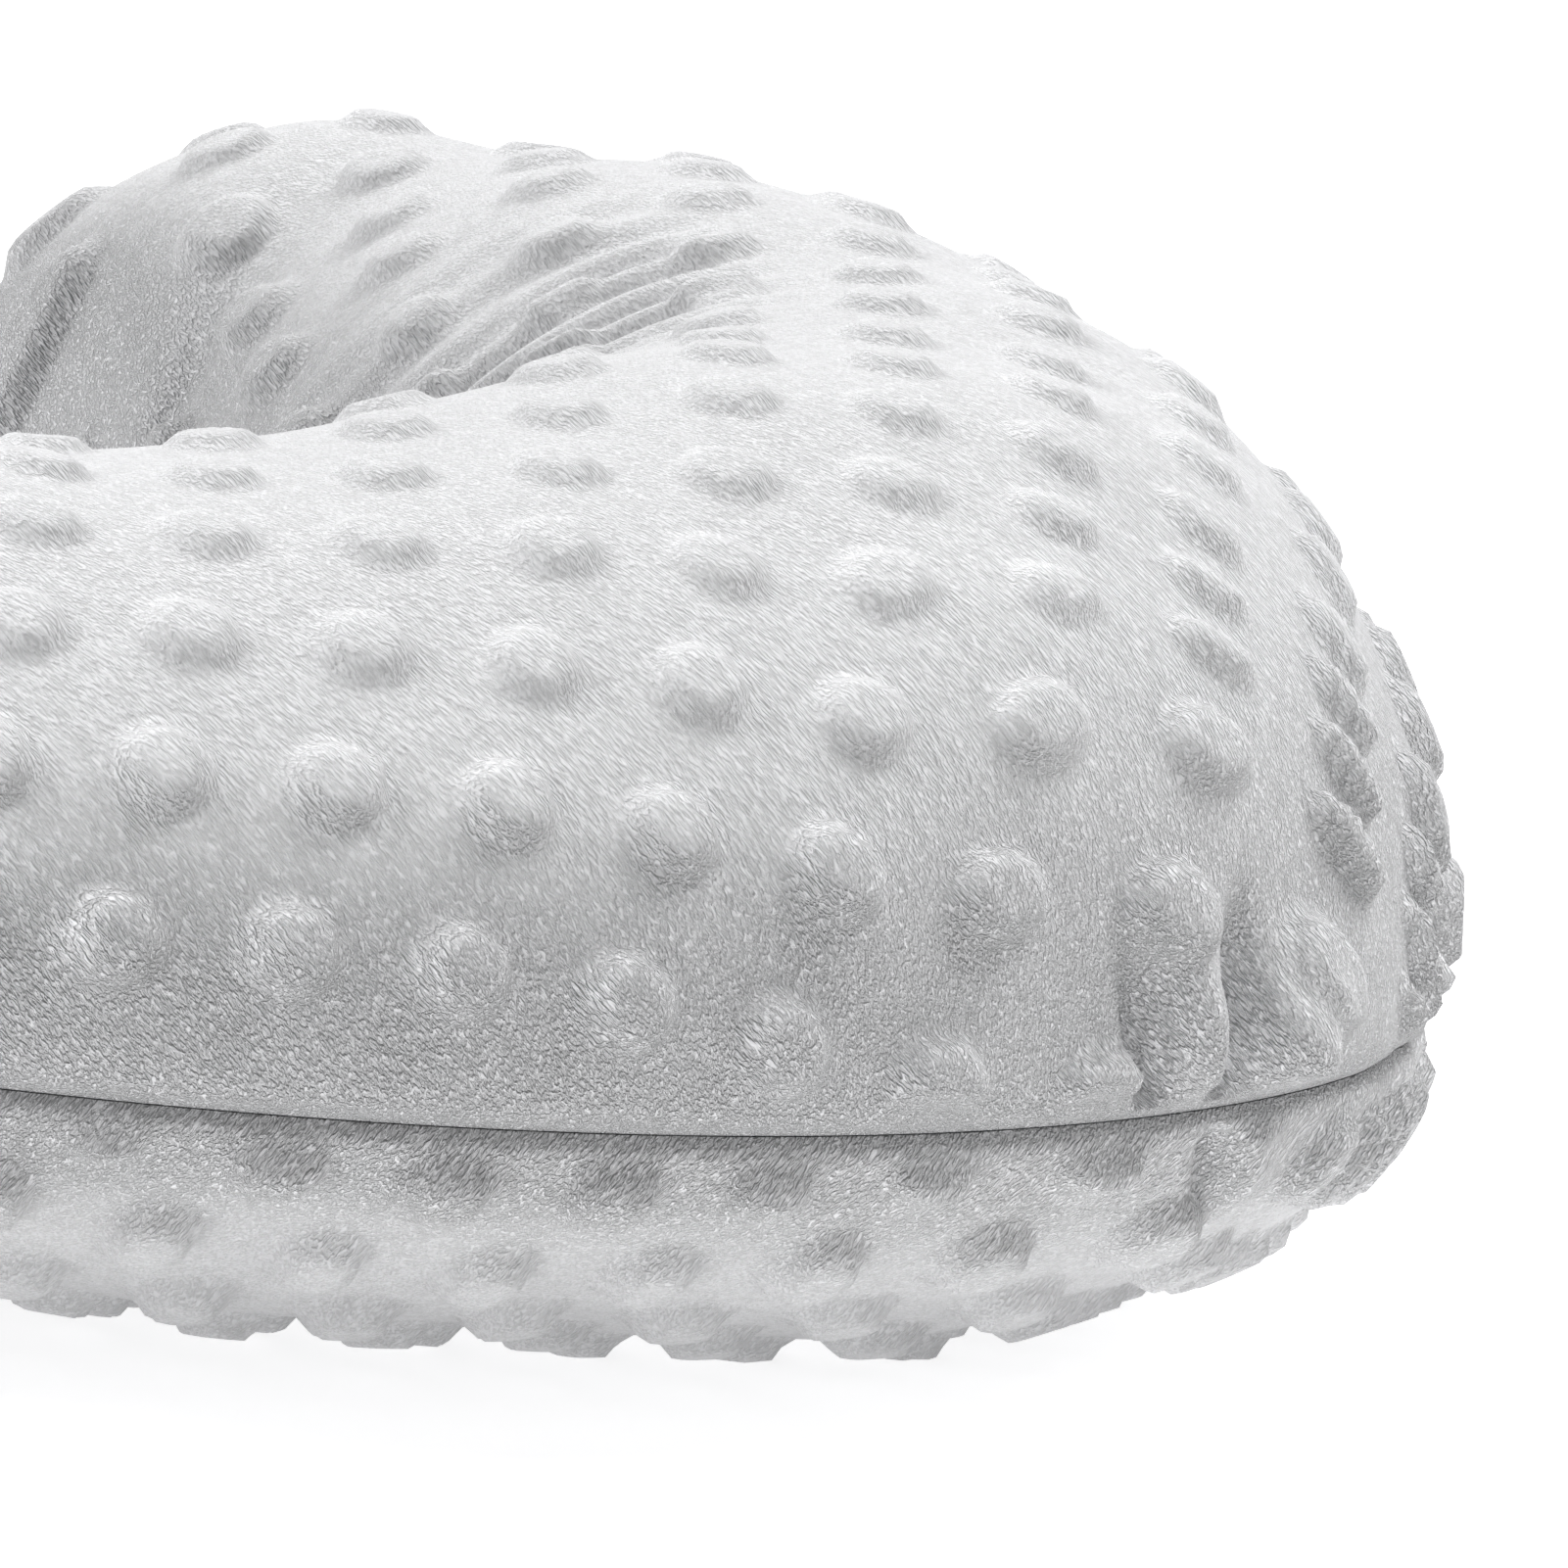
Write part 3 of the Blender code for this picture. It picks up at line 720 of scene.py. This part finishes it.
def woven_material(name, colour, thread):
    """Plain weave: two sets of threads, each going over and under the other."""
    made, tree, shader = new_material(name)
    link = tree.links.new
    place = node(tree, "ShaderNodeUVMap", uv_map="flat")
    heights = []
    for direction in ("X", "Y"):
        wave = node(tree, "ShaderNodeTexWave", bands_direction=direction)
        wave.inputs["Scale"].default_value = 1 / (thread * 20)
        link(place.outputs["UV"], wave.inputs["Vector"])
        heights.append(wave.outputs["Fac"])
    weave = node(tree, "ShaderNodeMath", operation="MAXIMUM")
    link(heights[0], weave.inputs[0])
    link(heights[1], weave.inputs[1])
    mix = node(tree, "ShaderNodeMix", data_type="RGBA")
    mix.inputs["A"].default_value = (*(0.8 * part for part in colour), 1)
    mix.inputs["B"].default_value = (*colour, 1)
    link(weave.outputs[0], mix.inputs["Factor"])
    link(mix.outputs["Result"], shader.inputs["Base Color"])
    bump = node(tree, "ShaderNodeBump")
    bump.inputs["Distance"].default_value = thread / 3
    link(weave.outputs[0], bump.inputs["Height"])
    link(bump.outputs["Normal"], shader.inputs["Normal"])
    shader.inputs["Roughness"].default_value = 0.85
    shader.inputs["Sheen Weight"].default_value = 0.1
    return made


def plain_material(name, colour, roughness, metallic, grain, depth):
    """A plain finish with slight unevenness in its colour, gloss and surface."""
    made, tree, shader = new_material(name)
    link = tree.links.new
    place = node(tree, "ShaderNodeTexCoord")
    noise = node(tree, "ShaderNodeTexNoise")
    noise.inputs["Scale"].default_value = 1 / grain
    noise.inputs["Detail"].default_value = 4.0
    link(place.outputs["Object"], noise.inputs["Vector"])
    mix = node(tree, "ShaderNodeMix", data_type="RGBA")
    mix.inputs["A"].default_value = (*(0.88 * part for part in colour), 1)
    mix.inputs["B"].default_value = (*colour, 1)
    link(noise.outputs["Fac"], mix.inputs["Factor"])
    link(mix.outputs["Result"], shader.inputs["Base Color"])
    gloss = node(tree, "ShaderNodeMapRange")
    gloss.inputs["To Min"].default_value = 0.8 * roughness
    gloss.inputs["To Max"].default_value = 1.2 * roughness
    link(noise.outputs["Fac"], gloss.inputs["Value"])
    link(gloss.outputs["Result"], shader.inputs["Roughness"])
    bump = node(tree, "ShaderNodeBump")
    bump.inputs["Strength"].default_value = 0.5
    bump.inputs["Distance"].default_value = depth
    link(noise.outputs["Fac"], bump.inputs["Height"])
    link(bump.outputs["Normal"], shader.inputs["Normal"])
    shader.inputs["Metallic"].default_value = metallic
    return made


def floor_material():
    made, tree, shader = new_material("floor_white")
    shader.inputs["Base Color"].default_value = (*FLOOR_WHITE, 1)
    shader.inputs["Roughness"].default_value = 0.9
    shader.inputs["Emission Color"].default_value = (1, 1, 1, 1)
    shader.inputs["Emission Strength"].default_value = FLOOR_GLOW
    return made


# ---- Scene ----


def sun_light(name, azimuth, elevation, strength, spread):
    """A wide soft light, the same strength all over the floor; azimuth 0 comes from -Y."""
    light = bpy.data.lights.new(name, "SUN")
    light.energy = strength * math.pi
    light.angle = spread
    obj = bpy.data.objects.new(name, light)
    toward = Vector(
        (
            math.cos(elevation) * math.sin(azimuth),
            -math.cos(elevation) * math.cos(azimuth),
            math.sin(elevation),
        )
    )
    obj.rotation_euler = toward.to_track_quat("Z", "Y").to_euler()
    bpy.context.scene.collection.objects.link(obj)


def add_camera():
    camera = bpy.data.cameras.new("camera")
    camera.sensor_width = VIEW_SENSOR
    camera.lens = VIEW_LENS
    camera.clip_end = VIEW_END
    obj = bpy.data.objects.new("camera", camera)
    target = Vector(VIEW_TARGET)
    flat = VIEW_DISTANCE * math.cos(VIEW_ELEVATION)
    side = Vector(
        (
            flat * math.sin(VIEW_AZIMUTH),
            -flat * math.cos(VIEW_AZIMUTH),
            VIEW_DISTANCE * math.sin(VIEW_ELEVATION),
        )
    )
    look = (-side).to_track_quat("-Z", "Y").to_matrix().to_4x4()
    obj.matrix_world = Matrix.Translation(target + side) @ look @ Matrix.Rotation(VIEW_ROLL, 4, "Z")
    bpy.context.scene.collection.objects.link(obj)
    bpy.context.scene.camera = obj


def add_floor():
    corners = [(x * FLOOR_HALF, y * FLOOR_HALF, 0) for x, y in ((-1, -1), (1, -1), (1, 1), (-1, 1))]
    mesh = bpy.data.meshes.new("floor")
    mesh.from_pydata(corners, [], [(0, 1, 2, 3)])
    mesh.materials.append(floor_material())
    obj = bpy.data.objects.new("floor", mesh)
    bpy.context.scene.collection.objects.link(obj)


def add_light():
    world = bpy.data.worlds.new("studio")
    bpy.context.scene.world = world
    world.use_nodes = True
    world.node_tree.nodes["Background"].inputs["Color"].default_value = (1, 1, 1, 1)
    world.node_tree.nodes["Background"].inputs["Strength"].default_value = WORLD_STRENGTH
    sun_light("key", KEY_AZIMUTH, KEY_ELEVATION, KEY_STRENGTH, KEY_SPREAD)
    sun_light("side", SIDE_AZIMUTH, SIDE_ELEVATION, SIDE_STRENGTH, SIDE_SPREAD)
    scene = bpy.context.scene
    scene.view_settings.view_transform = "Standard"


def place_piece(piece, finish, cad):
    """Puts a piece of the looks on the pillow's body, in the place of one CAD node."""
    piece.data.materials.append(finish)
    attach(piece, "pillow")
    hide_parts(cad)


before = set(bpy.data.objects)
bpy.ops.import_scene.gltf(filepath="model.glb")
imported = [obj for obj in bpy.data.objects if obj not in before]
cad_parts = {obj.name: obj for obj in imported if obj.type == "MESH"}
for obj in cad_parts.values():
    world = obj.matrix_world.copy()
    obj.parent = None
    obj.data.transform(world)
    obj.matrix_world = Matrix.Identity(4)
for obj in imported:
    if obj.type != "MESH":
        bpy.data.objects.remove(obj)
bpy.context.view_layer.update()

cover_top, top_surface, top_behind = build_cover_panel("minky_top_panel", True, TOP_DOTS, TOP_PILE_WAY)
cover_bottom, bottom_surface, bottom_behind = build_cover_panel(
    "minky_bottom_panel", False, BOTTOM_DOTS, BOTTOM_PILE_WAY
)
place_piece(cover_top, plush_material("plush_top", TOP_PILE_WAY), "cover_top_panel")
place_piece(cover_bottom, plush_material("plush_bottom", BOTTOM_PILE_WAY), "cover_bottom_panel")

tape_finish = woven_material("tape_weave", TAPE_COLOUR, TAPE_RIB)
for name, cad, surface, behind, cover in (
    ("woven_tape_upper", "zip_tape_upper", top_surface, top_behind, cover_top),
    ("woven_tape_lower", "zip_tape_lower", bottom_surface, bottom_behind, cover_bottom),
):
    piece = build_tape(name, surface, behind)
    place_piece(piece, tape_finish, cad)

casing_finish = woven_material("casing_weave", CASING_COLOUR, CASING_THREAD)
for name, cad, upper in (
    ("woven_casing_top", "casing_top_panel", True),
    ("woven_casing_bottom", "casing_bottom_panel", False),
):
    piece, area = build_casing(name, upper)
    place_piece(piece, casing_finish, cad)

fibre = build_filling("loose_fibre")
fibre_finish = plain_material("fibre_white", FIBRE_COLOUR, 0.95, 0.0, 0.004, 0.002)
place_piece(fibre, fibre_finish, "fibre_filling")

nylon = plain_material("nylon_grey", NYLON_COLOUR, 0.35, 0.0, 0.002, 0.00005)
for name, cad, sign in (("spiral_upper", "zip_coil_upper", 1), ("spiral_lower", "zip_coil_lower", -1)):
    place_piece(build_coil(name, sign), nylon, cad)

label = build_label("satin_label")
satin = woven_material("label_satin_weave", LABEL_COLOUR, LABEL_THREAD)
place_piece(label, satin, "care_label")

metal = plain_material("zip_metal_worn", METAL_COLOUR, 0.32, 1.0, 0.0008, 0.00002)
for cad in ("zip_slider", "zip_pull_tab", "zip_top_stop_upper", "zip_top_stop_lower", "zip_bottom_stop"):
    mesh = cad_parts[cad].data
    mesh.materials.clear()
    mesh.materials.append(metal)

add_floor()
add_light()
add_camera()
